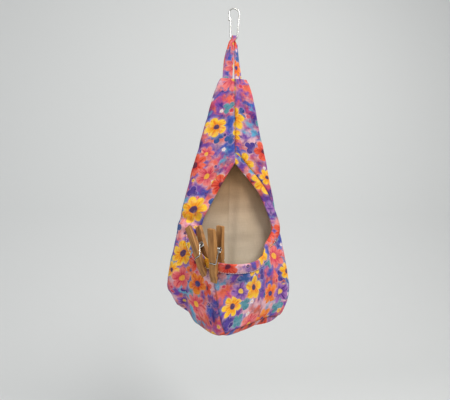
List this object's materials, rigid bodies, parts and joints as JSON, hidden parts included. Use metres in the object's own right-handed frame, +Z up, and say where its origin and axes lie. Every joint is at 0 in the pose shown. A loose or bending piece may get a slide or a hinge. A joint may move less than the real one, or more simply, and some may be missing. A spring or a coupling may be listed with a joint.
{
  "type": "peg bag",
  "caption": "Hanging cloth bag with a teardrop mouth in its front, a cloth loop on a sprung wire ring, and wooden spring pegs clipped to the rim.",
  "frame": {"origin": "the point inside the top of the wire ring where the bag hangs", "axes": "+X to the viewer's right, +Y away from the viewer through the flat back, +Z up"},
  "size_m": [0.185, 0.0951, 0.4646],
  "materials": {
    "printed_cotton": "matte woven cotton with a flower print",
    "cream_cotton": "matte plain cotton",
    "steel_wire": "bright drawn wire",
    "peg_wood": "bare weathered wood"
  },
  "bodies": {
    "ring": {"ring_wire": "steel_wire"},
    "latch": {"ring_latch": "steel_wire"},
    "loop": {"hanging_loop": "printed_cotton"},
    "pouch": {"outer_left_panel": "printed_cotton", "outer_right_panel": "printed_cotton", "outer_base_panel": "printed_cotton", "lining_left_panel": "cream_cotton", "lining_right_panel": "cream_cotton", "lining_base_panel": "cream_cotton", "opening_binding": "printed_cotton"},
    "left_peg": {"left_peg_front_leg": "peg_wood", "left_peg_spring": "steel_wire"},
    "left_peg_inner": {"left_peg_back_leg": "peg_wood"},
    "right_peg": {"right_peg_front_leg": "peg_wood", "right_peg_spring": "steel_wire"},
    "right_peg_inner": {"right_peg_back_leg": "peg_wood"}
  },
  "joints": [
    {"name": "latch_open", "type": "hinge", "parent": "ring", "child": "latch", "pos_m": [-0.00519, 0, -0.04016], "axis": [0, 1, 0], "range_deg": [0, 18], "stiffness_Nm_per_rad": 0.02, "springref_deg": -8.59},
    {"name": "bag_swing", "type": "hinge", "parent": "ring", "child": "loop", "pos_m": [0, 0, -0.045], "axis": [1, 0, 0], "range_deg": [-60, 60]},
    {"name": "bag_twist", "type": "hinge", "parent": "loop", "child": "pouch", "pos_m": [0, 0, -0.10442], "axis": [0, 0, 1], "range_deg": [-60, 60], "stiffness_Nm_per_rad": 0.003, "deforming": ["hanging_loop"]},
    {"name": "left_peg_pull", "type": "slide", "parent": "pouch", "child": "left_peg", "axis": [0.0287, -0.0438, 0.9986], "range_m": [0, 0.028]},
    {"name": "left_peg_squeeze", "type": "hinge", "parent": "left_peg", "child": "left_peg_inner", "pos_m": [-0.04593, -0.01658, -0.3437], "axis": [0.512, -0.7091, 0.4848], "range_deg": [0, 12], "stiffness_Nm_per_rad": 0.1, "springref_deg": -28.65, "deforming": ["left_peg_spring"]},
    {"name": "right_peg_pull", "type": "slide", "parent": "pouch", "child": "right_peg", "axis": [-0.0556, -0.1807, 0.982], "range_m": [0, 0.028]},
    {"name": "right_peg_squeeze", "type": "hinge", "parent": "right_peg", "child": "right_peg_inner", "pos_m": [-0.02527, -0.04631, -0.34498], "axis": [0.7202, -0.6884, -0.0859], "range_deg": [0, 12], "stiffness_Nm_per_rad": 0.1, "springref_deg": -28.65, "deforming": ["right_peg_spring"]}
  ]
}
